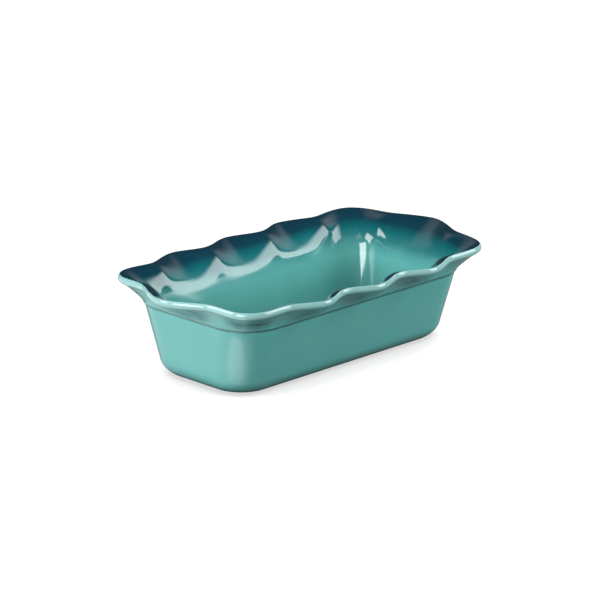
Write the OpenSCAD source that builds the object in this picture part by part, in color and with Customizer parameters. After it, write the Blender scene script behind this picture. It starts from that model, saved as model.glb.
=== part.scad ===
// Loaf pan: one stoneware casting with a flared, fluted rim, and the coats of glaze on it.
// Millimetres. Z is up, X runs along the pan, and the pan stands on Z = 0.

/* [Body] */
// half length of the outside at the step under the rim
body_half_l = 120; // [112:1:130]
// half width of the outside at the step under the rim
body_half_w = 63.4; // [58:0.2:70]
// corner radius of the outside at the step
corner_r = 31.2; // [28:0.2:34]
// corner radius of the outside at the foot
corner_r_foot = 19.9; // [17:0.1:22]
// height of the step under the rim
step_z = 54.9; // [50:0.1:60]
// how far the band above the step stands out
step_out = 1.5; // [1:0.1:2.5]
// lean of the end walls, as a slope
end_lean = 0.139; // [0.1:0.001:0.17]
// lean of the side walls, as a slope
side_lean = 0.276; // [0.24:0.001:0.3]
// lean of the end walls inside, as a slope
inner_end_lean = 0.19; // [0.14:0.001:0.22]
// lean of the side walls inside, as a slope
inner_side_lean = 0.29; // [0.27:0.001:0.31]
// radius between the walls and the foot
foot_r = 14.2; // [12:0.1:16]

/* [Rim] */
// half length of the rim's middle line
rim_half_l = 131.5; // [128:0.1:135]
// half width of the rim's middle line
rim_half_w = 77.1; // [75:0.1:80]
// corner radius of the rim's middle line
rim_corner_r = 61.7; // [56:0.1:64]
// reach of the lobes at the corners beyond the middle line
reach_corner = 12.8; // [10:0.1:15]
// reach of the lobes on the long sides
reach_side = 5.5; // [4:0.1:8]
// reach of the lobe on each end
reach_end = 13.9; // [11:0.1:16]
// reach of the ridges beside the corners on the long sides
reach_ridge_corner = -2.5; // [-4:0.1:0]
// reach of the middle ridges on the long sides
reach_ridge_side = -3.2; // [-5:0.1:-1]
// reach of the ridges on the ends
reach_ridge_end = 2.5; // [0:0.1:4]
// height of the rim at the corner lobes
rim_z_corner = 74.8; // [72:0.1:78]
// height of the rim at the lobes of the long sides
rim_z_side = 73.3; // [71:0.1:76]
// height of the rim at the lobe of each end
rim_z_end = 75.5; // [73:0.1:78]
// height of the rim at the ridges of the long sides
rim_z_ridge = 73.9; // [71:0.1:77]
// height of the rim at the ridges of the ends
rim_z_ridge_end = 75.9; // [73:0.1:78]
// how far the rounded lip stands out from its crest
lip_out = 1.6; // [1:0.1:2.2]
// height of the rounded lip's outer face
lip_h = 6; // [5:0.1:7]

/* [Walls] */
// thickness of the walls, glaze included
wall_t = 6; // [5:0.1:7]
// height of the floor's upper face above the table
floor_z = 7; // [6:0.1:9]
// radius between the walls and the floor inside
inner_r = 15; // [12:0.1:18]
// height at which the walls start to flare at the lobes
throat_z = 52.5; // [50:0.1:54]
// how much higher they start to flare at the ridges
throat_rise = 0.5; // [0:0.1:3]

/* [Foot] */
// width of the bare foot ring
ring_w = 6; // [4:0.5:9]
// depth of the hollow inside the foot ring, before glazing
ring_h = 1.1; // [0.8:0.1:1.6]

/* [Glaze] */
// thickness of the coats of glaze
glaze_t = 0.5; // [0.3:0.1:0.6]

/* [Hidden] */
n_side = 42;                       // steps along a long side, corner middle to corner middle
n_end = 22;                        // steps along an end
N = 2 * (n_side + n_end);
core_l = body_half_l - corner_r;   // centres of the corner arcs at the step
core_w = body_half_w - corner_r;

// Where the flutes lie along a side, as fractions of it: lobe, ridge, lobe ...
side_at = [0, 0.143, 0.263, 0.376, 0.5, 0.624, 0.737, 0.857, 1];
end_at = [0, 0.229, 0.5, 0.771, 1];
side_reach = [reach_corner, reach_ridge_corner, reach_side, reach_ridge_side, reach_side,
    reach_ridge_side, reach_side, reach_ridge_corner, reach_corner];
end_reach = [reach_corner, reach_ridge_end, reach_end, reach_ridge_end, reach_corner];
side_z = [rim_z_corner, rim_z_ridge, rim_z_side, rim_z_ridge, rim_z_side,
    rim_z_ridge, rim_z_side, rim_z_ridge, rim_z_corner];
end_z = [rim_z_corner, rim_z_ridge_end, rim_z_end, rim_z_ridge_end, rim_z_corner];
side_lobe = [1, 0, 1, 0, 1, 0, 1, 0, 1];
end_lobe = [1, 0, 1, 0, 1];

function unit(v) = v / norm(v);
function mix(a, b, t) = a + (b - a) * t;

// value at x of a wave that eases from each given value to the next
function wave(x, at, val, k = 0) = x <= at[k + 1] || k + 2 >= len(at)
    ? mix(val[k], val[k + 1], (1 - cos(180 * (x - at[k]) / (at[k + 1] - at[k]))) / 2)
    : wave(x, at, val, k + 1);

// a point and its outward normal on the near side of a rounded rectangle
function on_side(hl, hw, r, u) = let (a = hl - r, b = hw - r, c = r * PI / 4, s = u * 2 * (a + c))
    s < c ? let (q = 225 + s / r * 180 / PI) [[-a + r * cos(q), -b + r * sin(q)], [cos(q), sin(q)]]
    : s > c + 2 * a ? let (q = 270 + (s - c - 2 * a) / r * 180 / PI)
        [[a + r * cos(q), -b + r * sin(q)], [cos(q), sin(q)]]
    : [[s - c - a, -hw], [0, -1]];
function turned(p, j) = j == 0 ? p : turned([-p[1], p[0]], j - 1);

side_of = [for (i = [0:N - 1]) i < n_side ? 0 : i < n_side + n_end ? 1
    : i < 2 * n_side + n_end ? 2 : 3];
first_of = [0, n_side, n_side + n_end, 2 * n_side + n_end];

// For each step round the pan: crest of the lip, its outward normal, how much of a lobe it is,
// the centre of curvature of the wall (as fractions of its core) and the wall's normal.
STEPS = [for (i = [0:N - 1]) let (
    j = side_of[i], long = j % 2 == 0, u = (i - first_of[j]) / (long ? n_side : n_end),
    b = on_side(long ? rim_half_l : rim_half_w, long ? rim_half_w : rim_half_l, rim_corner_r, u),
    at = long ? side_at : end_at,
    g = wave(u, at, long ? side_reach : end_reach),
    z = wave(u, at, long ? side_z : end_z),
    f = wave(u, at, long ? side_lobe : end_lobe),
    n = turned(b[1], j), m = turned(b[0], j), p = m + n * g,
    c = [max(-1, min(1, m[0] / core_l)), max(-1, min(1, m[1] / core_w))]
    ) [[p[0], p[1], z], n, f, c, unit(m - [c[0] * core_l, c[1] * core_w])]];

// a point of the wall's outline: half sizes and corner radius at some height
function on_wall(i, hl, hw, r, z) = let (s = STEPS[i])
    [s[3][0] * (hl - r) + s[4][0] * r, s[3][1] * (hw - r) + s[4][1] * r, z];

// the curve between a leaning wall and a level face, from 0 on the wall to 1 on the level:
// how far in it lies from the top of the wall, and how high above the level face
function curve_in(lean, q, r, h) = let (a = atan(lean))
    h * lean + r / cos(a) - r * cos(a + (90 - a) * q);
function curve_up(lean, q, r) = let (a = atan(lean)) r - r * sin(a + (90 - a) * q);
foot_h = step_z - foot_r;
full_in = curve_in(end_lean, 1, foot_r, foot_h) + curve_in(side_lean, 1, foot_r, foot_h);
function foot_curve(i, q) = let (a = curve_in(end_lean, q, foot_r, foot_h),
    b = curve_in(side_lean, q, foot_r, foot_h), f = (a + b) / full_in)
    on_wall(i, body_half_l - a, body_half_w - b, mix(corner_r, corner_r_foot, f),
        curve_up(end_lean, q, foot_r));

// outside: foot curve, wall, step, flare, lip
function at_step(i, out, dz) = on_wall(i, body_half_l + out, body_half_w + out, corner_r + out,
    step_z + dz);
function lip(i, out, down) = let (s = STEPS[i])
    [s[0][0] + s[1][0] * out, s[0][1] + s[1][1] * out, s[0][2] - down];
function flare(i, t) = let (a = at_step(i, step_out, 1.6), b = lip(i, -1.8, lip_h + 0.2),
    w = pow(t, mix(1.35, 1.05, STEPS[i][2])))
    [mix(a[0], b[0], w), mix(a[1], b[1], w), mix(a[2], b[2], t)];
function outside(i) = [
    foot_curve(i, 0.83), foot_curve(i, 0.62), foot_curve(i, 0.41), foot_curve(i, 0.2),
    foot_curve(i, 0), at_step(i, -0.15, -0.9), at_step(i, step_out - 0.2, 0.3),
    at_step(i, step_out, 1.6), flare(i, 0.3), flare(i, 0.65), flare(i, 1),
    lip(i, 0, lip_h - 0.4), lip(i, lip_out * 0.85, lip_h * 0.7),
    lip(i, lip_out, lip_h * 0.45), lip(i, lip_out * 0.69, lip_h * 0.17)];

// inside: the dish of the rim falls to the throat, then the wall, then the curve to the floor
function inner_wall(i, z) = let (h = step_z - z)
    on_wall(i, body_half_l - wall_t - h * inner_end_lean,
        body_half_w - wall_t - h * inner_side_lean,
        corner_r - wall_t * 0.8 - h * (corner_r - corner_r_foot) / 60, z);
function bezier(a, b, c, d, t) = a * pow(1 - t, 3) + b * 3 * t * pow(1 - t, 2)
    + c * 3 * t * t * (1 - t) + d * pow(t, 3);
function dish(i, t) = let (s = STEPS[i], f = s[2],
    a = inner_wall(i, throat_z + throat_rise * (1 - f)),
    b = inner_wall(i, throat_z + throat_rise * (1 - f) + mix(6, 7, f)),
    d = lip(i, -1.3, 0.5),
    e = unit([d[0] - a[0], d[1] - a[1]]),
    k = mix(12, 9, f), q = mix(8, 28, f),
    c = [d[0] - e[0] * k * cos(q), d[1] - e[1] * k * cos(q), d[2] - k * sin(q)])
    bezier(d, c, b, a, t);
inner_h = step_z - floor_z - inner_r;
function floor_curve(i, q) = let (a = curve_in(inner_end_lean, q, inner_r, inner_h),
    b = curve_in(inner_side_lean, q, inner_r, inner_h),
    z = floor_z + curve_up(inner_end_lean, q, inner_r), h = step_z - z)
    on_wall(i, body_half_l - wall_t - a, body_half_w - wall_t - b,
        max(7, corner_r - wall_t * 0.8 - h * (corner_r - corner_r_foot) / 60
            - max(0, a + b - h * (inner_end_lean + inner_side_lean)) * 0.2), z);
function inside(i) = [dish(i, 0), dish(i, 0.17), dish(i, 0.36), dish(i, 0.56), dish(i, 0.78),
    dish(i, 1), floor_curve(i, 0), floor_curve(i, 0.25), floor_curve(i, 0.5),
    floor_curve(i, 0.75), floor_curve(i, 1)];

// the whole glazed face, row by row, and the clay face under it
COLS = [for (i = [0:N - 1]) concat(outside(i), [STEPS[i][0]], inside(i))];
K = len(COLS[0]);
crest_row = 15;
throat_row = 21;
FACE = [for (k = [0:K - 1]) [for (i = [0:N - 1]) COLS[i][k]]];
function face_normal(k, i) = k == K - 1 ? [0, 0, 1]
    : unit(cross(FACE[k][(i + 1) % N] - FACE[k][(i + N - 1) % N],
        FACE[min(K - 1, k + 1)][i] - FACE[max(0, k - 1)][i]));
CLAY = [for (k = [0:K - 1]) [for (i = [0:N - 1]) FACE[k][i] - face_normal(k, i) * glaze_t]];

function flat(rows) = [for (r = rows) each r];
function strip(k) = [for (i = [0:N - 1]) let (j = (i + 1) % N, a = k * N, b = (k + 1) * N)
    each [[a + i, b + i, b + j], [a + i, b + j, a + j]]];

// the clay side of a coat, split along the same diagonals as the glazed side
function strip_back(k) = [for (i = [0:N - 1]) let (j = (i + 1) % N, a = k * N, b = (k + 1) * N)
    each [[b + i, b + j, a + j], [b + i, a + j, a + i]]];
function level_up(k) = [for (i = [0:N - 1]) k * N + N - 1 - i];
function level_down(k) = [for (i = [0:N - 1]) k * N + i];
// the last row of a loop back to its first
function shut(m) = [for (i = [0:N - 1]) let (j = (i + 1) % N, a = (m - 1) * N)
    each [[a + i, i, a + j], [i, j, a + j]]];

// rows of points joined into a closed skin, its first and last rows shut by level faces
module skin(rows) {
    m = len(rows);
    polyhedron(points = flat(rows), convexity = 8, faces = concat(
        [for (k = [0:m - 2]) each strip(k)], [level_down(0), level_up(m - 1)]));
}

// a coat between the glazed face and the clay, over rows a to b
module coat(a, b) {
    m = 2 * (b - a + 1);
    polyhedron(points = flat(concat([for (k = [a:b]) FACE[k]], [for (k = [b:-1:a]) CLAY[k]])),
        convexity = 8, faces = concat([for (k = [0:b - a]) each strip(k)],
            [for (k = [b - a + 1:m - 2]) each strip_back(k)], shut(m)));
}

// a coat that runs on over the floor, from row a
module bowl_coat(a) {
    b = K - 1;
    m = 2 * (b - a + 1);
    polyhedron(points = flat(concat([for (k = [a:b]) FACE[k]], [for (k = [b:-1:a]) CLAY[k]])),
        convexity = 8, faces = concat([for (k = [0:b - a - 1]) each strip(k)],
            [level_up(b - a), level_down(b - a + 1)],
            [for (k = [b - a + 1:m - 2]) each strip_back(k)], shut(m)));
}

module rounded(l, w, r) {
    square([2 * l, 2 * (w - r)], center = true);
    square([2 * (l - r), 2 * w], center = true);
    for (x = [-1, 1], y = [-1, 1]) translate([x * (l - r), y * (w - r)]) circle(r, $fn = 96);
}

foot_out = 0.2;                    // the ring's outer edge, beyond where the foot curve ends
foot_l = body_half_l - curve_in(end_lean, 1, foot_r, foot_h) + foot_out;
foot_w = body_half_w - curve_in(side_lean, 1, foot_r, foot_h) + foot_out;
module hollow(z, h) translate([0, 0, z]) linear_extrude(h)
    rounded(foot_l - ring_w, foot_w - ring_w, corner_r_foot + foot_out - ring_w);

// the stoneware casting
module clay_body() color("#d8cdb8") difference() {
    skin(concat([[for (i = [0:N - 1]) on_wall(i, foot_l, foot_w, corner_r_foot + foot_out, 0)]],
        CLAY));
    hollow(-1, 1 + ring_h);
}

// the coat from the foot ring up the outside and over the lip to its crest
module outside_glaze() color("#6fb5ab") coat(0, crest_row);

// the coat on the floor and the walls inside, with its level middle run out flat
module inside_glaze() color("#56a59b") union() {
    bowl_coat(throat_row);
    translate([0, 0, floor_z - glaze_t]) linear_extrude(glaze_t)
        polygon([for (i = [0:N - 1]) [FACE[K - 1][i][0] * 0.94, FACE[K - 1][i][1] * 0.94]]);
}

// the dark coat on the inner face of the rim
module rim_glaze() color("#1f5566") coat(crest_row, throat_row);

// the glazed panel inside the foot ring
module underside_glaze() color("#6fb5ab") hollow(ring_h - glaze_t, glaze_t);

clay_body();
outside_glaze();
inside_glaze();
rim_glaze();
underside_glaze();
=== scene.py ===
"""Loaf pan in glazed stoneware: one casting with a flared rim of twelve flutes.

The clay and each coat of glaze are separate closed pieces.  Sizes are in metres.
"""

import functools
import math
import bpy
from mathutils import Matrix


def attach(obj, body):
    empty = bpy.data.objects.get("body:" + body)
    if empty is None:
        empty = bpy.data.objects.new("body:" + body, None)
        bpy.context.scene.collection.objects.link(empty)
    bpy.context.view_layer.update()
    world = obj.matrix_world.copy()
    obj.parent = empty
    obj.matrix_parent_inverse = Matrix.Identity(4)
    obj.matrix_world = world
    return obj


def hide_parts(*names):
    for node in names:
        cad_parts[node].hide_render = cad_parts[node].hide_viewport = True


bl_info = {
    "name": "Stoneware loaf pan",
    "version": (1, 0, 0),
    "blender": (4, 5, 0),
    "location": "3D View > Sidebar > Loaf pan",
    "description": "Makes a glazed stoneware loaf pan with a flared, fluted rim",
    "category": "Add Mesh",
}

import bpy
from mathutils import Matrix, Vector

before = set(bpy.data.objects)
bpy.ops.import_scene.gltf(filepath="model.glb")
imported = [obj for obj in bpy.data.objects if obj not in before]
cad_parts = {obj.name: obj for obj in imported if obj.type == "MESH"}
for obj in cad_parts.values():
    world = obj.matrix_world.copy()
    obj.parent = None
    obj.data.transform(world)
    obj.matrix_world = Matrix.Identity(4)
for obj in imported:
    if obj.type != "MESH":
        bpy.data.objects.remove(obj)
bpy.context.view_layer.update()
MM = 0.001
UP = Vector((0, 0, 1))

# Steps round the pan: along a long side and along an end, corner middle to corner middle.
SIDE_STEPS, END_STEPS = 144, 76
AROUND = 2 * (SIDE_STEPS + END_STEPS)

# Where each flute's middle and each ridge lies on a side, as a fraction of it.
SIDE_FLUTES = (0.0, 0.143, 0.263, 0.376, 0.5)
END_FLUTES = (0.0, 0.229, 0.5)

# What a row of the face belongs to.
WALL, FLARE, LIP, DISH = range(4)

# How many rows each stretch of the face takes; a spline's are for each span of it.
FOOT_ROWS, WALL_ROWS, STEP_ROWS, FLARE_ROWS = 14, 6, 3, 16
LIP_ROWS, DISH_ROWS, INNER_WALL_ROWS, INNER_FOOT_ROWS = 4, 34, 9, 12
FOOT_START = 0.83        # where the glaze ends, as a fraction of the foot's curve
LIP_CREST = 7            # which point of the lip's profile is its crest

# The rim's curves, first on a ridge and then in the middle of a lobe.
FLARE_POWER = 1.35, 1.05                          # how late the flare turns outwards
FOOT_PULL = 6 * MM, 7 * MM                        # how far the dish follows the wall's line
HEAD_PULL = 12 * MM, 9 * MM                       # how far it follows the lip's line
HEAD_SLOPE = math.radians(8), math.radians(28)    # how steeply the lip's line falls
UNDER_LIP = -1.8 * MM, 0.2 * MM    # the flare's top: out from the crest, below the lip
DISH_TOP = -1.3 * MM, 0.5 * MM     # the dish's top: out from the crest, down from it

# What the flutes need to know at each point of the unfluted face.
STORED = {"part_of_rim": "FLOAT", "along": "FLOAT", "lip_out": "FLOAT", "lip_down": "FLOAT",
          "side_fraction": "FLOAT", "on_end": "FLOAT", "rim_line": "FLOAT_VECTOR",
          "rim_out": "FLOAT_VECTOR", "up_wall": "FLOAT_VECTOR"}

# How the glazes and the painted shade under the lobes lie on the face.
LOBE_SHADE_MIDDLE, LOBE_SHADE_SPREAD = 0.5, 0.22    # of the painted shade under the lobes, along the flare
FADE_BELOW = 38 * MM     # below the throat, what counts as one more unit of the fade
FADE_END = 2.0           # the last of the dark coat's fade
GLAZED_HEIGHT = 80 * MM  # the height that the outside's colours are set out along
NOISE_LOW, NOISE_HIGH = 0.3, 0.7        # nearly all of a noise texture lies between these


def linear(hex_colour):
    """An sRGB hex colour as linear RGB."""
    parts = [int(hex_colour[i:i + 2], 16) / 255 for i in (1, 3, 5)]
    return tuple(c / 12.92 if c <= 0.04045 else ((c + 0.055) / 1.055) ** 2.4 for c in parts)


def add(tree, kind, inputs=None, **settings):
    """Adds a node, sets its properties, and gives each named input a value or a link."""
    made = tree.nodes.new(kind)
    for key, value in settings.items():
        setattr(made, key, value)
    for key, value in (inputs or {}).items():
        if isinstance(value, bpy.types.NodeSocket):
            tree.links.new(value, made.inputs[key])
        else:
            made.inputs[key].default_value = value
    return made


def length(name, description, millimetres):
    """A size that a user can change."""
    return bpy.props.FloatProperty(name=name, description=description,
                                   default=millimetres * MM, unit="LENGTH", precision=5)


def wall_lean(name, description, slope):
    """A wall's slope that a user can change: how far in for each unit down."""
    return bpy.props.FloatProperty(name=name, description=description, default=slope)


def colour(name, description, hex_colour):
    """A finish's colour that a user can change."""
    return bpy.props.FloatVectorProperty(name=name, description=description, subtype="COLOR",
                                         size=3, min=0, max=1, default=linear(hex_colour))


class LoafPanBody(bpy.types.PropertyGroup):
    half_length: length("Half length", "Outside, at the step under the rim", 120)
    half_width: length("Half width", "Outside, at the step under the rim", 63.4)
    corner: length("Corner radius", "Outside, at the step", 31.2)
    corner_foot: length("Corner radius at the foot", "Outside, at the foot", 19.9)
    step_height: length("Step height", "Height of the step under the rim", 54.9)
    step_out: length("Step", "How far the band above the step stands out", 1.5)
    end_lean: wall_lean("End lean", "Slope of the end walls", 0.139)
    side_lean: wall_lean("Side lean", "Slope of the side walls", 0.276)
    inner_end_lean: wall_lean("Inner end lean", "Slope of the end walls inside", 0.19)
    inner_side_lean: wall_lean("Inner side lean", "Slope of the side walls inside", 0.29)
    foot_radius: length("Foot radius", "Between the walls and the foot", 14.2)
    wall: length("Wall thickness", "With the glaze on both faces", 6)
    floor_height: length("Floor height", "Upper face of the floor above the table", 7)
    inner_radius: length("Inner radius", "Between the walls and the floor inside", 15)
    ring_width: length("Foot ring", "Width of the bare foot ring", 6)
    ring_depth: length("Hollow", "Depth of the clay inside the foot ring", 1.1)
    ring_out: length("Foot ring offset", "Ring's edge beyond the end of the foot curve", 0.2)
    glaze: length("Glaze thickness", "Thickness of every coat", 0.5)


class LoafPanRim(bpy.types.PropertyGroup):
    half_length: length("Half length", "Middle line of the rim", 131.5)
    half_width: length("Half width", "Middle line of the rim", 77.1)
    corner: length("Corner radius", "Middle line of the rim", 61.7)
    corner_lobe: length("Corner lobe reach", "Beyond the middle line", 12.8)
    side_lobe: length("Side lobe reach", "Beyond the middle line", 5.5)
    end_lobe: length("End lobe reach", "Beyond the middle line", 13.9)
    corner_ridge: length("Corner ridge reach", "Ridge beside a corner on a long side", -2.5)
    side_ridge: length("Side ridge reach", "Middle ridges of a long side", -3.2)
    end_ridge: length("End ridge reach", "Ridges of an end", 2.5)
    corner_height: length("Corner height", "Crest at the corner lobes", 74.8)
    side_height: length("Side height", "Crest at the side lobes", 73.3)
    end_height: length("End height", "Crest at the end lobes", 75.5)
    ridge_height: length("Ridge height", "Crest at the ridges of the long sides", 73.9)
    end_ridge_height: length("End ridge height", "Crest at the ridges of the ends", 75.9)
    lip_out: length("Lip", "How far the rounded lip stands out from its crest", 1.6)
    lip_height: length("Lip height", "Outer face of the rounded lip", 6)
    throat: length("Throat height", "Where the walls start to flare at the lobes", 52.5)
    throat_rise: length("Throat rise", "How much higher they flare at the ridges", 0.5)


class LoafPanFinish(bpy.types.PropertyGroup):
    outside: colour("Outside glaze", "Turquoise glaze on the outside", "#57a5a1")
    inside: colour("Inside glaze", "Turquoise glaze on the floor and walls", "#61afab")
    teal: colour("Teal", "Where the dark coat thins out", "#11656b")
    navy: colour("Navy", "The dark coat at full thickness", "#0d3142")
    clay: colour("Bare clay", "Fired stoneware on the foot ring", "#d9cbb2")
    gloss: bpy.props.FloatProperty(name="Glaze roughness", description="Of the fired glaze",
                                   default=0.07, min=0, max=1, subtype="FACTOR")


class LoafPanStage(bpy.types.PropertyGroup):
    azimuth: bpy.props.FloatProperty(name="Azimuth", description="Camera's turn about Z",
                                     default=math.radians(-44.936), subtype="ANGLE")
    elevation: bpy.props.FloatProperty(name="Elevation", description="Camera above the table",
                                       default=math.radians(17.745), subtype="ANGLE")
    distance: length("Distance", "Camera to the pan", 2905.074)
    beside: length("Beside", "Camera's shift to the right", -1.492)
    above: length("Above", "Camera's shift upwards", 6.416)
    aim_height: length("Aim height", "Height that the camera's axis is set out from", 35)
    lens: bpy.props.FloatProperty(name="Focal length", description="Camera's lens",
                                  default=231.479, unit="CAMERA")
    floor: colour("Floor", "White paper floor", "#f4f4f4")


def mix(a, b, t):
    """The value that lies t of the way from a to b."""
    return a + (b - a) * t


def sizes_now():
    """Every size of the body and the rim, by which a face made for them is kept."""
    scene = bpy.context.scene
    return tuple(getattr(group, key) for group in (scene.loaf_pan_body, scene.loaf_pan_rim)
                 for key in group.__annotations__)


def on_side(half_length, half_width, radius, u):
    """Point and normal at u along the near side of a rounded rectangle."""
    a, b, c = half_length - radius, half_width - radius, radius * math.pi / 4
    s = u * 2 * (a + c)
    if c <= s <= c + 2 * a:
        return Vector((s - c - a, -half_width, 0)), Vector((0, -1, 0))
    turn = math.radians(225) + s / radius if s < c else \
        math.radians(270) + (s - c - 2 * a) / radius
    centre = Vector((-a if s < c else a, -b, 0))
    out = Vector((math.cos(turn), math.sin(turn), 0))
    return centre + out * radius, out


def steps():
    """For each step round the pan: point of the rim's middle line, its outward normal, the
    fraction of the side (folded at its middle), whether it is on an end, the centre of the
    wall's curvature as a fraction of the wall's core, and the wall's normal."""
    return steps_for(sizes_now())


@functools.lru_cache(maxsize=1)
def steps_for(_sizes):
    """The steps, made once for these sizes."""
    body, rim = bpy.context.scene.loaf_pan_body, bpy.context.scene.loaf_pan_rim
    core = (body.half_length - body.corner, body.half_width - body.corner)
    made = []
    for side in range(4):
        on_end = side % 2
        count = END_STEPS if on_end else SIDE_STEPS
        sizes = (rim.half_width, rim.half_length) if on_end else (rim.half_length,
                                                                  rim.half_width)
        turn = Matrix.Rotation(side * math.pi / 2, 3, "Z")
        for i in range(count):
            u = i / count
            line, out = (turn @ v for v in on_side(*sizes, rim.corner, u))
            centre = [max(-1, min(1, line[k] / core[k])) for k in (0, 1)]
            normal = Vector((line[0] - centre[0] * core[0], line[1] - centre[1] * core[1], 0))
            made.append((line, out, min(u, 1 - u), on_end, centre, normal.normalized()))
    return made


def outline(half_length, half_width, radius, height):
    """One row round the pan: a rounded rectangle of the wall's own spacing."""
    a, b = half_length - radius, half_width - radius
    return [Vector((c[0] * a + n[0] * radius, c[1] * b + n[1] * radius, height))
            for _, _, _, _, c, n in steps()]


def curve_in(lean, radius, drop, t):
    """How far in from the step a curve between wall and level face lies, 0 to 1 along it."""
    tilt = math.atan(lean)
    return drop * lean + radius / math.cos(tilt) - radius * math.cos(mix(tilt, math.pi / 2, t))


def curve_up(lean, radius, t):
    """How far up from the level face the same curve lies."""
    return radius - radius * math.sin(mix(math.atan(lean), math.pi / 2, t))


def foot_curve(t):
    """Row on the curve under the outer walls: 0 at the wall, 1 at the table."""
    body = bpy.context.scene.loaf_pan_body
    drop = body.step_height - body.foot_radius
    here, foot = ([curve_in(lean, body.foot_radius, drop, s)
                   for lean in (body.end_lean, body.side_lean)] for s in (t, 1))
    return outline(body.half_length - here[0], body.half_width - here[1],
                   mix(body.corner, body.corner_foot, sum(here) / sum(foot)),
                   curve_up(body.end_lean, body.foot_radius, t))


def step_row(out, rise):
    """Row near the step: how far out from the wall's top and above it."""
    body = bpy.context.scene.loaf_pan_body
    return outline(body.half_length + out, body.half_width + out, body.corner + out,
                   body.step_height + rise)


def inner_wall(height, less=0.0, in_l=0.0, in_w=0.0):
    """Row on the inner walls, or further in and with a smaller corner."""
    body = bpy.context.scene.loaf_pan_body
    drop = body.step_height - height
    tapering = (body.corner - body.corner_foot) / (60 * MM)
    corner = body.corner - body.wall * 0.8 - drop * tapering
    return outline(body.half_length - body.wall - (in_l or drop * body.inner_end_lean),
                   body.half_width - body.wall - (in_w or drop * body.inner_side_lean),
                   max(7 * MM, corner - less), height)


def floor_curve(t):
    """Row on the curve between the inner walls and the floor: 0 at the wall, 1 at the floor."""
    body = bpy.context.scene.loaf_pan_body
    reach = body.step_height - body.floor_height - body.inner_radius
    in_l = curve_in(body.inner_end_lean, body.inner_radius, reach, t)
    in_w = curve_in(body.inner_side_lean, body.inner_radius, reach, t)
    height = body.floor_height + curve_up(body.inner_end_lean, body.inner_radius, t)
    drop = body.step_height - height
    less = max(0, in_l + in_w - drop * (body.inner_end_lean + body.inner_side_lean)) * 0.2
    return inner_wall(height, less, in_l, in_w)


def between(a, b, count):
    """count values from a towards b, without b."""
    return [mix(a, b, i / count) for i in range(count)]


def smooth_path(points, count):
    """A smooth path through 2D points, as count points for each span and the last one."""
    ends = [points[0], *points, points[-1]]
    made = []
    for p, q, r, s in zip(ends, ends[1:], ends[2:], ends[3:]):
        for t in between(0, 1, count):
            made.append(tuple(0.5 * (2 * q[k] + (r[k] - p[k]) * t
                                     + (2 * p[k] - 5 * q[k] + 4 * r[k] - s[k]) * t * t
                                     + (3 * q[k] - p[k] - 3 * r[k] + s[k]) * t ** 3)
                              for k in (0, 1)))
    return made + [tuple(points[-1])]


def face_rows():
    """Rows of the glazed face from the foot, over the lip and down to the floor's middle.

    Each row is what it belongs to, its points, how far it lies along the flare or dish, and
    its place on the lip (out from the crest, down from it)."""
    body, rim = bpy.context.scene.loaf_pan_body, bpy.context.scene.loaf_pan_rim
    out, tall, edge = rim.lip_out, rim.lip_height, body.step_out

    # The foot's curve, the wall up to just under the step, and the step's rounded groove.
    groove = [(-0.15 * MM, -1.1 * MM), (-0.1 * MM, -0.5 * MM), (0.4 * MM, -0.1 * MM),
              (edge - 0.3 * MM, 0.3 * MM), (edge, 0.9 * MM), (edge, 1.6 * MM)]
    low, top = foot_curve(0), step_row(*groove[0])
    walls = [foot_curve(t) for t in between(FOOT_START, 0, FOOT_ROWS)]
    walls += [[p.lerp(q, t) for p, q in zip(low, top)] for t in between(0, 1, WALL_ROWS)]
    walls += [step_row(*at) for at in smooth_path(groove, STEP_ROWS)[:-1]]
    rows = [(WALL, points, 0, (0, 0)) for points in walls]
    rows += [(FLARE, step_row(*groove[-1]), t, (0, 0)) for t in between(0, 1, FLARE_ROWS)]

    # The lip is a bead: out from its crest and down from it, from under it and over it.
    bead = smooth_path([(UNDER_LIP[0], tall + UNDER_LIP[1]), (-0.9 * MM, tall + 0.1 * MM),
                        (0.3 * MM, tall - 0.6 * MM), (out * 0.85, tall * 0.7),
                        (out, tall * 0.45), (out * 0.69, tall * 0.17),
                        (out * 0.31, tall * 0.035), (0, 0), DISH_TOP], LIP_ROWS)
    # The outside's glaze and the rim's dark coat part two rows outside the crest.
    crest_row = len(rows) + LIP_CREST * LIP_ROWS - 2
    blank = outline(body.half_length, body.half_width, body.corner, 0)
    rows += [(LIP, blank, 0, at) for at in bead[:-1]]

    # The dish inside the rim, then the inner wall, the curve at its foot and the floor.
    heads, low, edge_row = inner_wall(rim.throat), floor_curve(0), floor_curve(1)
    rows += [(DISH, heads, t, (0, 0)) for t in (*between(0, 1, DISH_ROWS), 1)]
    throat_row = len(rows) + 1    # the dark coat ends two rows below the throat
    walls = [[p.lerp(q, t) for p, q in zip(heads, low)]
             for t in between(0, 1, INNER_WALL_ROWS)[1:]]
    walls += [floor_curve(t) for t in between(0, 1, INNER_FOOT_ROWS)]
    middle = Vector((0, 0, edge_row[0].z))
    walls += [[middle.lerp(p, s) for p in edge_row] for s in (1, 0.9, 0.75, 0.5, 0.25, 0.06)]
    rows += [(WALL, points, 0, (0, 0)) for points in walls]
    return rows, crest_row, throat_row


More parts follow.
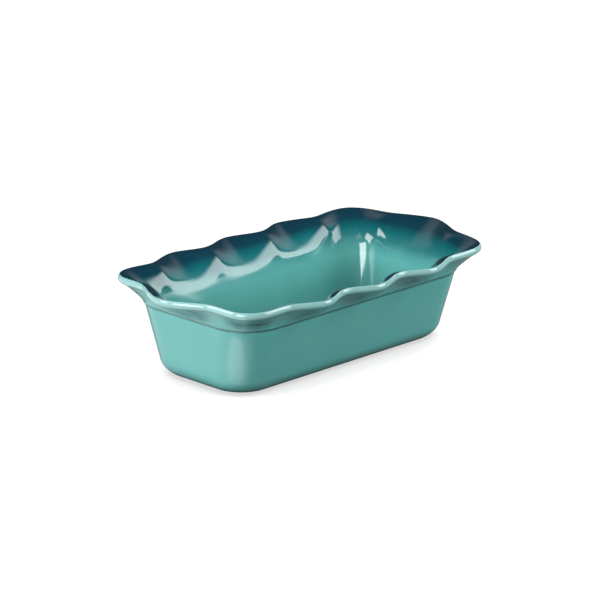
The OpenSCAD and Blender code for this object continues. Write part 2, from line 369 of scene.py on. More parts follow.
def sheet_mesh(rows):
    """The unfluted face as a sheet, with what the flutes need stored on its points."""
    mesh = bpy.data.meshes.new("unfluted_face")
    points = [p for _, row, _, _ in rows for p in row]
    quads = [(k * AROUND + i, k * AROUND + (i + 1) % AROUND,
              (k + 1) * AROUND + (i + 1) % AROUND, (k + 1) * AROUND + i)
             for k in range(len(rows) - 1) for i in range(AROUND)]
    mesh.from_pydata(points, [], quads)
    throat = bpy.context.scene.loaf_pan_rim.throat
    up_wall = [(b - a) / MM for a, b in zip(inner_wall(throat), inner_wall(throat + MM))]
    kinds, _, alongs, lips = zip(*rows)
    lines, outs, fractions, on_ends, _, _ = zip(*steps())
    by_row = {"part_of_rim": kinds, "along": alongs, "lip_out": [lip[0] for lip in lips],
              "lip_down": [lip[1] for lip in lips]}
    by_step = {"side_fraction": fractions, "on_end": on_ends, "rim_line": lines,
               "rim_out": outs, "up_wall": up_wall}
    for name, kind in STORED.items():
        spread = [v for v in by_row[name] for _ in range(AROUND)] if name in by_row \
            else list(by_step[name]) * len(rows)
        stored = mesh.attributes.new(name, kind, "POINT")
        if kind == "FLOAT":
            stored.data.foreach_set("value", spread)
        else:
            stored.data.foreach_set("vector", [c for v in spread for c in v])
    return mesh


def flute_tree():
    """Geometry nodes that flare and flute the rim of the unfluted face."""
    tree = bpy.data.node_groups.new("Fluted rim", "GeometryNodeTree")
    rim = bpy.context.scene.loaf_pan_rim
    sizes = ["corner_lobe", "side_lobe", "end_lobe", "corner_ridge", "side_ridge", "end_ridge",
             "corner_height", "side_height", "end_height", "ridge_height", "end_ridge_height",
             "throat_rise", "lip_height"]
    tree.interface.new_socket("Face", in_out="INPUT", socket_type="NodeSocketGeometry")
    for key in sizes:
        title = rim.bl_rna.properties[key].name
        made = tree.interface.new_socket(title, in_out="INPUT", socket_type="NodeSocketFloat")
        made.subtype = "DISTANCE"
        made.default_value = getattr(rim, key)
    tree.interface.new_socket("Glaze", in_out="INPUT", socket_type="NodeSocketMaterial")
    tree.interface.new_socket("Face", in_out="OUTPUT", socket_type="NodeSocketGeometry")
    given = add(tree, "NodeGroupInput").outputs
    size = {key: given[rim.bl_rna.properties[key].name] for key in sizes}
    stored = {name: add(tree, "GeometryNodeInputNamedAttribute", {"Name": name},
                        data_type=kind).outputs["Attribute"] for name, kind in STORED.items()}
    place = add(tree, "GeometryNodeInputPosition").outputs[0]
    out, up_wall = stored["rim_out"], stored["up_wall"]

    # Reach, height and lobe share of the crest, eased from each flute to the next ridge.
    corner, side, end, corner_ridge, side_ridge, end_ridge = (
        add(tree, "ShaderNodeCombineXYZ", {0: size[reach], 1: size[height], 2: share})
        .outputs[0] for reach, height, share in (
            ("corner_lobe", "corner_height", 1.0), ("side_lobe", "side_height", 1.0),
            ("end_lobe", "end_height", 1.0), ("corner_ridge", "ridge_height", 0.0),
            ("side_ridge", "ridge_height", 0.0), ("end_ridge", "end_ridge_height", 0.0)))
    waves = []
    for flutes, order in ((SIDE_FLUTES, (corner, corner_ridge, side, side_ridge, side)),
                          (END_FLUTES, (corner, end_ridge, end))):
        wave = order[0]
        for low, high, following in zip(flutes, flutes[1:], order[1:]):
            eased = add(tree, "ShaderNodeMapRange", {0: stored["side_fraction"], 1: low,
                                                     2: high},
                        interpolation_type="SMOOTHSTEP").outputs[0]
            wave = add(tree, "ShaderNodeMix", {"Factor": eased, 4: wave, 5: following},
                       data_type="VECTOR").outputs[1]
        waves.append(wave)
    wave = add(tree, "ShaderNodeMix", {"Factor": stored["on_end"], 4: waves[0], 5: waves[1]},
               data_type="VECTOR").outputs[1]
    reach, height, lobe = add(tree, "ShaderNodeSeparateXYZ", {0: wave}).outputs
    power, foot_reach, pull, slope = (
        add(tree, "ShaderNodeMapRange", {0: lobe, 1: 0.0, 2: 1.0, 3: ridge, 4: flute})
        .outputs[0] for ridge, flute in (FLARE_POWER, FOOT_PULL, HEAD_PULL, HEAD_SLOPE))

    def moved(start, line, far):
        """The point this far from start along a line."""
        step = add(tree, "ShaderNodeVectorMath", {0: line, 3: far}, operation="SCALE")
        return add(tree, "ShaderNodeVectorMath", {0: start, 1: step.outputs[0]},
                   operation="ADD").outputs[0]

    def on_lip(outwards, down):
        """The point this far out from the crest and down from it."""
        return moved(moved(crest, out, outwards), (0, 0, -1), down)

    crest = moved(moved(stored["rim_line"], out, reach), (0, 0, 1), height)

    # Flare: from the band above the step to under the lip, fuller under a lobe.
    along = stored["along"]
    bend = add(tree, "ShaderNodeMath", {0: along, 1: power}, operation="POWER").outputs[0]
    bends = add(tree, "ShaderNodeCombineXYZ", {0: bend, 1: bend, 2: along}).outputs[0]
    down = add(tree, "ShaderNodeMath", {0: size["lip_height"], 1: UNDER_LIP[1]},
               operation="ADD").outputs[0]
    flare = add(tree, "ShaderNodeMix", {1: bends, 4: place, 5: on_lip(UNDER_LIP[0], down)},
                data_type="VECTOR", factor_mode="NON_UNIFORM").outputs[1]

    # Dish: one cubic curve from the lip to the throat, hollow in a lobe and full on a ridge.
    ridge_share = add(tree, "ShaderNodeMath", {0: 1.0, 1: lobe}, operation="SUBTRACT")
    rise = add(tree, "ShaderNodeMath", {0: size["throat_rise"], 1: ridge_share.outputs[0]},
               operation="MULTIPLY").outputs[0]
    head, foot = on_lip(*DISH_TOP), moved(place, up_wall, rise)
    apart = add(tree, "ShaderNodeVectorMath", {0: foot, 1: head}, operation="SUBTRACT")
    flat = add(tree, "ShaderNodeVectorMath", {0: apart.outputs[0], 1: (1, 1, 0)},
               operation="MULTIPLY")
    level = add(tree, "ShaderNodeVectorMath", {0: flat.outputs[0]}, operation="NORMALIZE")
    inwards, down = (add(tree, "ShaderNodeMath", {0: pull, 1: add(
        tree, "ShaderNodeMath", {0: slope}, operation=part).outputs[0]},
        operation="MULTIPLY").outputs[0] for part in ("COSINE", "SINE"))
    head_pull = moved(moved(head, level.outputs[0], inwards), (0, 0, -1), down)
    chain = [head, head_pull, moved(foot, up_wall, foot_reach), foot]
    while len(chain) > 1:
        chain = [add(tree, "ShaderNodeMix", {"Factor": along, 4: a, 5: b},
                     data_type="VECTOR").outputs[1] for a, b in zip(chain, chain[1:])]

    shape = given["Face"]
    lip = on_lip(stored["lip_out"], stored["lip_down"])
    for kind, places in ((FLARE, flare), (LIP, lip), (DISH, chain[0])):
        chosen = add(tree, "FunctionNodeCompare", {0: stored["part_of_rim"], 1: float(kind),
                                                   "Epsilon": 0.1},
                     data_type="FLOAT", operation="EQUAL").outputs[0]
        shape = add(tree, "GeometryNodeSetPosition",
                    {"Geometry": shape, "Selection": chosen, "Position": places}).outputs[0]
    shape = add(tree, "GeometryNodeStoreNamedAttribute", {
        "Geometry": shape, "Name": "lobe_share", "Value": lobe}).outputs[0]
    shape = add(tree, "GeometryNodeRealizeInstances", {0: shape}).outputs[0]
    shape = add(tree, "GeometryNodeSetMaterial",
                {"Geometry": shape, "Material": given["Glaze"]}).outputs[0]
    add(tree, "NodeGroupOutput", {0: shape})
    return tree


def glazed_face():
    """The finished face: rows of points, their outward normals, how far each row's points lie
    down the dark coat's fade (0 at the crest, 1 at the throat), and the two parting rows.
    Outside, below 0, the same numbers say how dark the painted shade under each lobe is."""
    return face_for(sizes_now())


@functools.lru_cache(maxsize=1)
def face_for(_sizes):
    """The finished face, made once for these sizes."""
    rows, crest_row, throat_row = face_rows()
    mesh = sheet_mesh(rows)
    sheet = bpy.data.objects.new("unfluted_face", mesh)
    bpy.context.scene.collection.objects.link(sheet)
    flutes = sheet.modifiers.new("Fluted rim", "NODES")
    tree = flutes.node_group = flute_tree()
    rim = bpy.context.scene.loaf_pan_rim
    titles = {p.name: p.identifier for p in rim.bl_rna.properties}
    plain = bpy.data.materials.new("unfired_glaze")
    for item in tree.interface.items_tree:
        if item.in_out == "INPUT" and item.socket_type == "NodeSocketFloat":
            flutes[item.identifier] = getattr(rim, titles[item.name])
        elif item.in_out == "INPUT" and item.socket_type == "NodeSocketMaterial":
            flutes[item.identifier] = plain
    bpy.context.view_layer.update()
    graph = bpy.context.evaluated_depsgraph_get()
    baked = bpy.data.meshes.new_from_object(sheet.evaluated_get(graph))
    points = [v.co.copy() for v in baked.vertices]
    normals = [n.vector.copy() for n in baked.vertex_normals]
    lobes = [v.value for v in baked.attributes["lobe_share"].data[:AROUND]]
    bpy.data.objects.remove(sheet)
    bpy.data.node_groups.remove(tree)
    bpy.data.meshes.remove(baked)
    bpy.data.materials.remove(plain)
    bpy.data.meshes.remove(mesh)
    points, normals = ([flat[k:k + AROUND] for k in range(0, len(flat), AROUND)]
                       for flat in (points, normals))

    # How far each point lies down the face from the crest, and the throat's distance.
    run = [[0.0] * AROUND]
    for row, following in zip(points[crest_row:], points[crest_row + 1:]):
        run.append([far + (q - p).length for far, p, q in zip(run[-1], row, following)])
    throat = max(k for k, row in enumerate(rows) if row[0] == DISH)
    whole = run[throat - crest_row]
    # Outside the crest, painted shade under each lobe, darkest midway along the flare.
    fade = [[-lobe * math.exp(-((along - LOBE_SHADE_MIDDLE) / LOBE_SHADE_SPREAD) ** 2)
             if kind == FLARE else 0.0 for lobe in lobes]
            for kind, _, along, _ in rows[:crest_row]]
    fade += [[s / w if s < w else 1 + (s - w) / FADE_BELOW for s, w in zip(row, whole)]
             for row in run]
    return points, normals, fade, crest_row, throat_row


def closed_piece(name, rows, wrap=False, fans_after=(), normals=None, fade=None):
    """A closed mesh through rows of points, shut by fans where it isn't wrapped round."""
    points = [p for row in rows for p in row]
    faces, extra, count = [], [], len(rows)

    def fan(k, upwards):
        centre = len(points) + len(extra)
        extra.append(Vector((0, 0, rows[k][0].z)))
        for i in range(AROUND):
            a, b = k * AROUND + i, k * AROUND + (i + 1) % AROUND
            faces.append((centre, a, b) if upwards else (centre, b, a))

    if not wrap:
        fan(0, False)
        fan(count - 1, True)
    for k in range(count if wrap else count - 1):
        following = (k + 1) % count
        if k in fans_after:
            fan(k, True)
            fan(following, False)
            continue
        for i in range(AROUND):
            j = (i + 1) % AROUND
            faces.append((k * AROUND + i, k * AROUND + j, following * AROUND + j,
                          following * AROUND + i))
    mesh = bpy.data.meshes.new(name)
    mesh.from_pydata(points + extra, [], faces)
    mesh.shade_smooth()
    if fade:
        stored = mesh.attributes.new("fade", "FLOAT", "POINT")
        stored.data.foreach_set("value", [v for row in fade for v in row]
                                + [FADE_END] * len(extra))
    if normals:
        flat = [n for row in normals for n in row]
        ups = [Vector((0, 0, 1 if k % 2 == 0 else -1)) for k in range(len(extra))]
        mesh.normals_split_custom_set_from_vertices(flat + ups)
    piece = bpy.data.objects.new(name, mesh)
    bpy.context.scene.collection.objects.link(piece)
    return piece


def coat(name, first, last, bowl=False):
    """A coat of glaze over the face's rows from first to last, with the clay side under it."""
    body = bpy.context.scene.loaf_pan_body
    face, normals, fade = (part[first:last + 1] for part in glazed_face()[:3])
    clay = [[p - n * body.glaze for p, n in zip(*pair)] for pair in zip(face, normals)]
    back = [[-n for n in row] for row in normals]
    return closed_piece(name, face + clay[::-1], wrap=True,
                        fans_after=(len(face) - 1,) if bowl else (),
                        normals=normals + back[::-1], fade=fade + fade[::-1])


def finish_piece(piece, material, node):
    """Gives a piece its material and its body, and hides the CAD part that it stands for."""
    piece.data.materials.clear()
    piece.data.materials.append(material)
    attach(piece, "root")
    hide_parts(node)


# --- Materials ---

def new_material(name):
    """An empty node material and its tree."""
    made = bpy.data.materials.new(name)
    made.use_nodes = True
    made.node_tree.nodes.clear()
    return made, made.node_tree


def set_stops(ramp, stops, reach):
    """Gives a colour ramp these stops: where each lies, up to reach, and its colour."""
    elements = ramp.color_ramp.elements
    while len(elements) < len(stops):
        elements.new(0.5)
    for element, (at, shade) in zip(elements, stops):
        element.position = at / reach
        element.color = (*shade, 1)


def fired_gloss(tree, base, roughness):
    """Glassy fired glaze over a base colour.  The glaze flows as it melts, so that its face
    waves a little and the edges of reflections wander."""
    place = add(tree, "ShaderNodeTexCoord").outputs["Object"]
    # The waves are about 14 mm across and a few hundredths of a millimetre high.
    waves = add(tree, "ShaderNodeTexNoise", {"Vector": place, "Scale": 1 / (14 * MM),
                                             "Detail": 2.0, "Roughness": 0.4})
    bump = add(tree, "ShaderNodeBump", {"Height": waves.outputs[0], "Strength": 0.25,
                                        "Distance": 0.12 * MM})
    shader = add(tree, "ShaderNodeBsdfPrincipled",
                 {"Base Color": base, "Roughness": roughness, "IOR": 1.52,
                  "Normal": bump.outputs[0]})
    add(tree, "ShaderNodeOutputMaterial", {"Surface": shader.outputs[0]})


def clouded(tree, base, amount):
    """The colour with the soft, uneven depth of a poured glaze, in clouds 30 mm across."""
    place = add(tree, "ShaderNodeTexCoord").outputs["Object"]
    clouds = add(tree, "ShaderNodeTexNoise", {"Vector": place, "Scale": 1 / (30 * MM),
                                              "Detail": 3.0, "Roughness": 0.5})
    value = add(tree, "ShaderNodeMapRange", {0: clouds.outputs[0], 1: NOISE_LOW,
                                             2: NOISE_HIGH, 3: 1 - amount, 4: 1 + amount})
    return add(tree, "ShaderNodeHueSaturation", {"Color": base,
                                                 "Value": value.outputs[0]}).outputs[0]


def outside_glaze_material():
    """Turquoise gloss glaze on stoneware: even on the walls, with painted shade above the foot
    and in long streaks under the lobes, darker in the groove of the step (partly glaze pooling,
    partly painted shade), and paler over the lip (partly thin glaze, partly a painted
    highlight)."""
    finish, body = bpy.context.scene.loaf_pan_finish, bpy.context.scene.loaf_pan_body
    made, tree = new_material("turquoise_stoneware_glaze")
    place = add(tree, "ShaderNodeTexCoord").outputs["Object"]
    height = add(tree, "ShaderNodeSeparateXYZ", {0: place}).outputs[2]
    ramp = add(tree, "ShaderNodeValToRGB", {"Fac": add(tree, "ShaderNodeMapRange", {
        0: height, 1: 0.0, 2: GLAZED_HEIGHT}).outputs[0]})
    whole, step = Vector(finish.outside), body.step_height
    painted_pool, thin_glaze_and_highlight = whole * 0.42, whole.lerp(Vector((1, 1, 1)), 0.17)
    # Painted shade darkens the glaze above the foot.  The step's groove is darker, partly glaze
    # pooling and partly painted shade, and the lip is paler, partly thin glaze, partly a
    # painted highlight.
    set_stops(ramp, [
        (0, whole * 0.2), (1.4 * MM, whole * 0.34), (4 * MM, whole * 0.85), (9 * MM, whole),
        (step - 1.7 * MM, whole), (step - 0.8 * MM, painted_pool), (step + 0.6 * MM, painted_pool),
        (step + 1.9 * MM, whole), (67.5 * MM, whole), (71 * MM, thin_glaze_and_highlight)], GLAZED_HEIGHT)
    # The painted shade's edges are soft, and ragged by 12 mm blots.
    fade = add(tree, "ShaderNodeAttribute", attribute_name="fade").outputs["Fac"]
    blots = add(tree, "ShaderNodeTexNoise", {"Vector": place, "Scale": 1 / (12 * MM),
                                             "Detail": 2.0}).outputs[0]
    ragged = add(tree, "ShaderNodeMapRange", {0: blots, 1: NOISE_LOW, 2: NOISE_HIGH,
                                              3: -0.15, 4: 0.15}).outputs[0]
    lobe_shade_depth = add(tree, "ShaderNodeMath", {0: ragged, 1: fade}, operation="SUBTRACT").outputs[0]
    lobe_shade = add(tree, "ShaderNodeMapRange", {0: lobe_shade_depth, 1: 0.25, 2: 0.9, 3: 0.0, 4: 0.9},
                 interpolation_type="SMOOTHSTEP").outputs[0]
    glaze = add(tree, "ShaderNodeMix", {"Factor": lobe_shade, 6: ramp.outputs[0], 7: (*painted_pool, 1)},
                data_type="RGBA").outputs[2]
    fired_gloss(tree, clouded(tree, glaze, 0.03), finish.gloss)
    return made


def inside_glaze_material(name):
    """The same turquoise inside, under a dark coat sprayed on the rim: navy on the flare,
    thinning through teal to bare turquoise below the throat, and darker towards the floor."""
    finish = bpy.context.scene.loaf_pan_finish
    made, tree = new_material(name)
    fade = add(tree, "ShaderNodeAttribute", attribute_name="fade").outputs["Fac"]
    place = add(tree, "ShaderNodeTexCoord").outputs["Object"]
    # The spray drifted, so that the dark coat thins a little unevenly, in 22 mm blots.
    blots = add(tree, "ShaderNodeTexNoise", {"Vector": place, "Scale": 1 / (22 * MM),
                                             "Detail": 3.0}).outputs[0]
    drift = add(tree, "ShaderNodeMapRange", {0: blots, 1: NOISE_LOW, 2: NOISE_HIGH,
                                             3: -0.05, 4: 0.05}).outputs[0]
    shifted = add(tree, "ShaderNodeMath", {0: fade, 1: drift}, operation="ADD").outputs[0]
    ramp = add(tree, "ShaderNodeValToRGB", {"Fac": add(tree, "ShaderNodeMapRange", {
        0: shifted, 1: 0.0, 2: FADE_END}).outputs[0]})
    navy, teal, whole = (Vector(c) for c in (finish.navy, finish.teal, finish.inside))
    set_stops(ramp, [
        (0.0, navy), (0.36, navy.lerp(teal, 0.12)), (0.6, teal), (0.8, teal.lerp(whole, 0.2)),
        (1.0, teal.lerp(whole, 0.7)), (1.2, whole), (1.75, whole * 0.84)], FADE_END)
    fired_gloss(tree, clouded(tree, ramp.outputs[0], 0.03), finish.gloss)
    return made


def bare_clay_material():
    """Fired stoneware with no glaze: matt, sandy and faintly speckled with iron, with painted
    contact shade, a dark turquoise, on all the clay above the ring's face on the table."""
    finish = bpy.context.scene.loaf_pan_finish
    made, tree = new_material("bare_stoneware")
    place = add(tree, "ShaderNodeTexCoord").outputs["Object"]
    # Sand in grains of 0.8 mm, and iron specks 1 mm across that lie about 4 mm apart.
    sand = add(tree, "ShaderNodeTexNoise", {"Vector": place, "Scale": 1 / (0.8 * MM),
                                            "Detail": 4.0})
    specks = add(tree, "ShaderNodeTexVoronoi", {"Vector": place, "Scale": 1 / (4 * MM)})
    speck_edge = add(tree, "ShaderNodeMapRange", {0: specks.outputs[0], 1: 0.1, 2: 0.16})
    height = add(tree, "ShaderNodeSeparateXYZ", {0: place}).outputs[2]
    # Painted contact shade: the clay darkens to dark turquoise just above the ring's face on
    # the table.
    contact_shade_edge = add(tree, "ShaderNodeMapRange", {0: height, 1: 0.02 * MM, 2: 0.2 * MM})
    clay, painted_contact_shade = Vector(finish.clay), Vector(finish.outside) * 0.3
    toned = add(tree, "ShaderNodeMix", {"Factor": sand.outputs[0], 6: (*clay * 0.86, 1),
                                        7: (*clay, 1)}, data_type="RGBA").outputs[2]
    dotted = add(tree, "ShaderNodeMix", {"Factor": speck_edge.outputs[0],
                                         6: (*clay * 0.45, 1), 7: toned},
                 data_type="RGBA").outputs[2]
    contact_shaded = add(tree, "ShaderNodeMix", {"Factor": contact_shade_edge.outputs[0], 6: dotted,
                                          7: (*painted_contact_shade, 1)}, data_type="RGBA").outputs[2]
    bump = add(tree, "ShaderNodeBump", {"Height": sand.outputs[0], "Strength": 0.6,
                                        "Distance": 0.15 * MM})
    shader = add(tree, "ShaderNodeBsdfPrincipled", {"Base Color": contact_shaded, "Roughness": 0.85,
                                                    "Normal": bump.outputs[0]})
    add(tree, "ShaderNodeOutputMaterial", {"Surface": shader.outputs[0]})
    return made


# --- Operators ---

class LOAFPAN_OT_outside_glaze(bpy.types.Operator):
    """Makes the coat on the outside, from the foot ring over the lip to its crest"""
    bl_idname = "loaf_pan.outside_glaze"
    bl_label = "Outside glaze"

    def execute(self, context):
        crest_row = glazed_face()[3]
        piece = coat("outside_glaze_coat", 0, crest_row)
        finish_piece(piece, outside_glaze_material(), "outside_glaze")
        return {"FINISHED"}


class LOAFPAN_OT_rim_glaze(bpy.types.Operator):
    """Makes the dark coat on the inner face of the flared rim"""
    bl_idname = "loaf_pan.rim_glaze"
    bl_label = "Rim glaze"

    def execute(self, context):
        crest_row, throat_row = glazed_face()[3:]
        piece = coat("rim_glaze_coat", crest_row, throat_row)
        finish_piece(piece, inside_glaze_material("navy_ombre_glaze"), "rim_glaze")
        return {"FINISHED"}


class LOAFPAN_OT_inside_glaze(bpy.types.Operator):
    """Makes the coat on the walls and floor inside"""
    bl_idname = "loaf_pan.inside_glaze"
    bl_label = "Inside glaze"

    def execute(self, context):
        points, *_, throat_row = glazed_face()
        piece = coat("inside_glaze_coat", throat_row, len(points) - 1, bowl=True)
        finish_piece(piece, inside_glaze_material("inside_turquoise_glaze"), "inside_glaze")
        return {"FINISHED"}


def ring_outline(inwards, height):
    """A row on the foot ring: inwards from its outer edge."""
    body = bpy.context.scene.loaf_pan_body
    drop = body.step_height - body.foot_radius
    sizes = [half - curve_in(lean, body.foot_radius, drop, 1) + body.ring_out - inwards
             for half, lean in ((body.half_length, body.end_lean),
                                (body.half_width, body.side_lean))]
    return outline(*sizes, body.corner_foot + body.ring_out - inwards, height)


class LOAFPAN_OT_clay_body(bpy.types.Operator):
    """Makes the stoneware casting under the glaze, bare on its foot ring"""
    bl_idname = "loaf_pan.clay_body"
    bl_label = "Clay body"

    def execute(self, context):
        body = context.scene.loaf_pan_body
        points, normals = glazed_face()[:2]
        # The ring from the hollow's middle, over its wiped and softened edges, to the glaze.
        soft, wide, deep = 0.4 * MM, body.ring_width, body.ring_depth
        ring = [ring_outline(inwards, height) for inwards, height in (
            (wide + 27 * MM, deep), (wide + 12 * MM, deep), (wide + soft, deep),
            (wide, deep - soft), (wide, soft), (wide - soft * 0.3, soft * 0.3),
            (wide - soft, 0), (soft, 0), (soft * 0.3, soft * 0.2), (-0.1 * MM, soft))]
        clay = [[p - n * body.glaze for p, n in zip(*pair)] for pair in zip(points, normals)]
        piece = closed_piece("clay_casting", ring + clay[::2] + clay[-1:])
        finish_piece(piece, bare_clay_material(), "clay_body")
        return {"FINISHED"}


class LOAFPAN_OT_underside_glaze(bpy.types.Operator):
    """Makes the glazed panel inside the foot ring, with its rounded edge"""
    bl_idname = "loaf_pan.underside_glaze"
    bl_label = "Underside glaze"

    def execute(self, context):
        body = context.scene.loaf_pan_body
        inner, top = body.ring_width, body.ring_depth
        low = top - body.glaze
        rows = [ring_outline(inner + inset, height) for inset, height in (
            (24 * MM, low), (8 * MM, low), (1.2 * MM, low), (0.7 * MM, low + 0.03 * MM),
            (0.3 * MM, low + 0.15 * MM), (0.1 * MM, low + 0.3 * MM), (0.1 * MM, top))]
        piece = closed_piece("underside_glaze_panel", rows)
        finish_piece(piece, outside_glaze_material(), "underside_glaze")
        return {"FINISHED"}


# --- Stage ---

# Softboxes round the pan: azimuths from +X and elevations of the edges in degrees, distance,
# brightness, and how far the diffuser fades in from each edge: at the first and second
# azimuth, then at the bottom and top, as fractions of its width and height.
SOFTBOXES = (
    ("left_front", (180, 208), (4, 22), 1.1, 13.0, (0.1, 0.1, 0.1, 0.1)),
    ("left_back", (146, 172), (8, 38), 1.1, 10.0, (0.1, 0.1, 0.1, 0.2)),
    ("left_high", (165, 215), (44, 66), 1.1, 2.0, (0.3, 0.3, 0.3, 0.3)),
    ("right_top", (-70, -25), (4, 50), 1.2, 7.0, (0.1, 0.15, 0.08, 0.4)),
    ("right_panel", (-24, 28), (6, 54), 1.3, 1.0, (0.15, 0.55, 0.3, 0.5)),
    ("back_panel", (48, 110), (20, 62), 1.3, 0.5, (0.4, 0.4, 0.3, 0.4)),
)
LAMP_CENTRE = Vector((0, 0, 40 * MM))    # what the softboxes face
FLOOR_LIT = 0.16      # how much of the paper's colour is left where it lights the pan
ROOM_LIT = 0.38       # the room's brightness where it lights a surface
ROOM_SEEN = 0.05      # and where it is seen, as in a reflection
FLOOR_HALF = 6.0      # half the paper's width
FLOOR_DROP = 0.05 * MM    # it lies a hair under the foot ring, so the faces don't coincide
SHADOW_REACH = 60 * MM    # how far from the pan the contact shadow starts

# The contact shadow: where the paper is shut in and where it is open, and its brightness at
# each.  The second is the same for the painted pool of light that the glaze mirrors.
SHADOW_SEEN = 0.25, 0.66, 0.6, 1.0
SHADOW_MIRRORED = 0.3, 0.7, 0.0, 1.0

# A pool of light painted on the paper, seen only in reflections, where the left softboxes
# would throw it: where it ends and where it is whole, and its strength at each, along X,
# along Y and towards its brightest place.
POOL_ALONG_X = -90 * MM, -135 * MM, 0.2, 1.5
POOL_ALONG_Y = -105 * MM, -70 * MM, 0.15, 1.0
POOL_CORE = 30 * MM, 12 * MM, 0.0, 2.0
CORE_PLACE, CORE_SHAPE = (-149 * MM, -53 * MM, 0), (0.6, 1, 1)


def faded_lamp(lamp, feather):
    """A diffuser that fades towards its edges, as cloth on a softbox does."""
    lamp.use_nodes = True
    tree = lamp.node_tree
    tree.nodes.clear()
    across = add(tree, "ShaderNodeSeparateXYZ", {
        0: add(tree, "ShaderNodeNewGeometry").outputs["Parametric"]}).outputs
    strength = 1.0
    for socket, low, high in ((across[0], *feather[:2]), (across[1], *feather[2:])):
        for start, end in ((0, low), (1, 1 - high)):
            part = add(tree, "ShaderNodeMapRange", {0: socket, 1: float(start), 2: end},
                       interpolation_type="SMOOTHSTEP").outputs[0]
            strength = add(tree, "ShaderNodeMath", {0: strength, 1: part},
                           operation="MULTIPLY").outputs[0]
    glow = add(tree, "ShaderNodeEmission", {"Strength": strength})
    add(tree, "ShaderNodeOutputLight", {0: glow.outputs[0]})


def white_paper_material():
    """Matt white paper: white to the eye, with a soft contact shadow where the pan shuts the
    light out.  Glossy surfaces see a painted pool of light where the softboxes would throw it."""
    made, tree = new_material("white_paper")
    colour_lit = Vector(bpy.context.scene.loaf_pan_stage.floor) * FLOOR_LIT
    paper = add(tree, "ShaderNodeBsdfDiffuse", {"Color": (*colour_lit, 1)})
    path = add(tree, "ShaderNodeLightPath").outputs
    place = add(tree, "ShaderNodeTexCoord").outputs["Object"]
    east, north = add(tree, "ShaderNodeSeparateXYZ", {0: place}).outputs[:2]
    apart = add(tree, "ShaderNodeVectorMath", {0: place, 1: CORE_PLACE}, operation="SUBTRACT")
    apart = add(tree, "ShaderNodeVectorMath", {0: apart.outputs[0], 1: CORE_SHAPE},
                operation="MULTIPLY")
    apart = add(tree, "ShaderNodeVectorMath", {0: apart.outputs[0]}, operation="LENGTH")
    shut = add(tree, "ShaderNodeAmbientOcclusion", {"Distance": SHADOW_REACH},
               samples=12).outputs["AO"]
    shadow, dim, across, beside, core = (
        add(tree, "ShaderNodeMapRange", {0: value, 1: at[0], 2: at[1], 3: at[2], 4: at[3]},
            interpolation_type=kind).outputs[0] for value, at, kind in (
                (shut, SHADOW_SEEN, "LINEAR"), (shut, SHADOW_MIRRORED, "LINEAR"),
                (east, POOL_ALONG_X, "SMOOTHSTEP"), (north, POOL_ALONG_Y, "SMOOTHSTEP"),
                (apart.outputs[1], POOL_CORE, "SMOOTHSTEP")))
    painted_pool = add(tree, "ShaderNodeMath", {0: across, 1: beside, 2: core},
               operation="MULTIPLY_ADD").outputs[0]
    painted_pool = add(tree, "ShaderNodeMath", {0: painted_pool, 1: dim}, operation="MULTIPLY").outputs[0]
    mirrored = add(tree, "ShaderNodeMath", {0: path["Is Glossy Ray"],
                                            1: path["Is Transmission Ray"]},
                   operation="MAXIMUM").outputs[0]
    seen = add(tree, "ShaderNodeMath", {0: path["Is Camera Ray"], 1: shadow},
               operation="MULTIPLY").outputs[0]
    strength = add(tree, "ShaderNodeMath", {0: mirrored, 1: painted_pool, 2: seen},
                   operation="MULTIPLY_ADD").outputs[0]
    glow = add(tree, "ShaderNodeEmission", {"Strength": strength})
    both = add(tree, "ShaderNodeAddShader", {0: paper.outputs[0], 1: glow.outputs[0]})
    add(tree, "ShaderNodeOutputMaterial", {"Surface": both.outputs[0]})
    return made


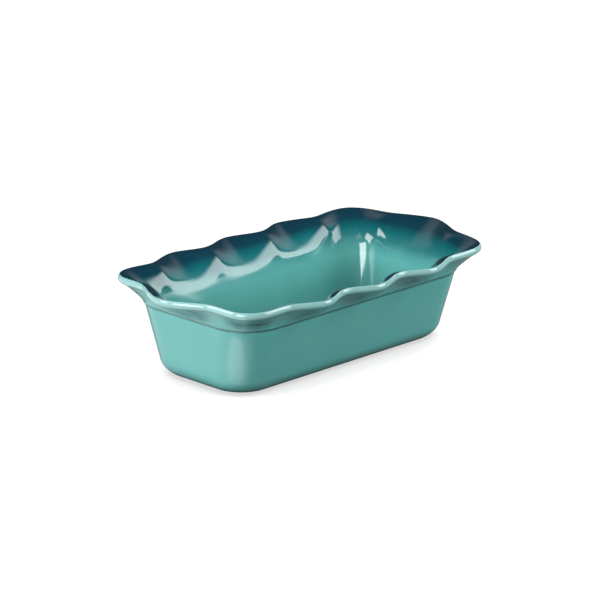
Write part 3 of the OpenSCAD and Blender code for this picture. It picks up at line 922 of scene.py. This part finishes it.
class LOAFPAN_OT_stage(bpy.types.Operator):
    """Sets the floor, the softboxes, the world and the camera"""
    bl_idname = "loaf_pan.stage"
    bl_label = "Stage"

    def execute(self, context):
        scene, stage = context.scene, context.scene.loaf_pan_stage
        mesh = bpy.data.meshes.new("paper_floor")
        mesh.from_pydata([(x * FLOOR_HALF, y * FLOOR_HALF, -FLOOR_DROP) for x, y in (
            (-1, -1), (1, -1), (1, 1), (-1, 1))], [], [(0, 1, 2, 3)])
        floor = bpy.data.objects.new("paper_floor", mesh)
        scene.collection.objects.link(floor)
        mesh.materials.append(white_paper_material())

        world = bpy.data.worlds.new("dim_studio")
        world.use_nodes = True
        tree = world.node_tree
        tree.nodes.clear()
        path = add(tree, "ShaderNodeLightPath").outputs
        level = add(tree, "ShaderNodeMapRange", {0: path["Is Diffuse Ray"], 3: ROOM_SEEN,
                                                 4: ROOM_LIT})
        room = add(tree, "ShaderNodeBackground", {"Color": (1, 1, 1, 1),
                                                  "Strength": level.outputs[0]})
        add(tree, "ShaderNodeOutputWorld", {0: room.outputs[0]})
        scene.world = world

        for name, azimuths, elevations, far, bright, feather in SOFTBOXES:
            a, e = (math.radians(sum(v) / 2) for v in (azimuths, elevations))
            wide, tall = (math.radians(v[1] - v[0]) for v in (azimuths, elevations))
            toward = Vector((math.cos(a) * math.cos(e), math.sin(a) * math.cos(e), math.sin(e)))
            lamp = bpy.data.lights.new(name, "AREA")
            lamp.shape = "RECTANGLE"
            lamp.size = 2 * far * math.tan(wide / 2) * math.cos(e)
            lamp.size_y = 2 * far * math.tan(tall / 2)
            lamp.energy = bright * math.pi * lamp.size * lamp.size_y
            faded_lamp(lamp, feather)
            box = bpy.data.objects.new(name, lamp)
            box.location = LAMP_CENTRE + toward * far
            box.rotation_mode = "QUATERNION"
            box.rotation_quaternion = toward.to_track_quat("Z", "Y")
            scene.collection.objects.link(box)

        a, e = stage.azimuth, stage.elevation
        back = Vector((math.sin(a) * math.cos(e), -math.cos(a) * math.cos(e), math.sin(e)))
        right = Vector((math.cos(a), math.sin(a), 0))
        above = back.cross(right)
        lens = bpy.data.cameras.new("camera")
        lens.sensor_width = 36
        lens.lens = stage.lens
        lens.clip_start, lens.clip_end = 0.1, 30
        camera = bpy.data.objects.new("camera", lens)
        camera.rotation_mode = "QUATERNION"
        camera.rotation_quaternion = Matrix((right, above, back)).transposed().to_quaternion()
        camera.location = (back * stage.distance + right * stage.beside
                           + above * stage.above + UP * stage.aim_height)
        scene.collection.objects.link(camera)
        scene.camera = camera
        scene.view_settings.view_transform = "Standard"
        return {"FINISHED"}


class LOAFPAN_PT_panel(bpy.types.Panel):
    """Sizes, finishes and steps of the loaf pan"""
    bl_idname = "LOAFPAN_PT_panel"
    bl_label = "Loaf pan"
    bl_space_type = "VIEW_3D"
    bl_region_type = "UI"
    bl_category = "Loaf pan"

    def draw(self, context):
        for name in GROUPS:
            group, box = getattr(context.scene, name), self.layout.box()
            box.label(text=name.rpartition("_")[2].title())
            for key in group.__annotations__:
                box.prop(group, key)
        for step in STEPS_IN_ORDER:
            self.layout.operator(step.bl_idname)


STEPS_IN_ORDER = (LOAFPAN_OT_stage, LOAFPAN_OT_clay_body, LOAFPAN_OT_outside_glaze,
                  LOAFPAN_OT_rim_glaze, LOAFPAN_OT_inside_glaze, LOAFPAN_OT_underside_glaze)
GROUPS = {"loaf_pan_body": LoafPanBody, "loaf_pan_rim": LoafPanRim,
          "loaf_pan_finish": LoafPanFinish, "loaf_pan_stage": LoafPanStage}
CLASSES = (*GROUPS.values(), *STEPS_IN_ORDER, LOAFPAN_PT_panel)


def register():
    for made in CLASSES:
        bpy.utils.register_class(made)
    for name, group in GROUPS.items():
        setattr(bpy.types.Scene, name, bpy.props.PointerProperty(type=group))


def unregister():
    for name in GROUPS:
        delattr(bpy.types.Scene, name)
    for made in reversed(CLASSES):
        bpy.utils.unregister_class(made)


def main():
    register()
    for step in STEPS_IN_ORDER:
        group, name = step.bl_idname.split(".")
        getattr(getattr(bpy.ops, group), name)()


if __name__ == "__main__":
    main()
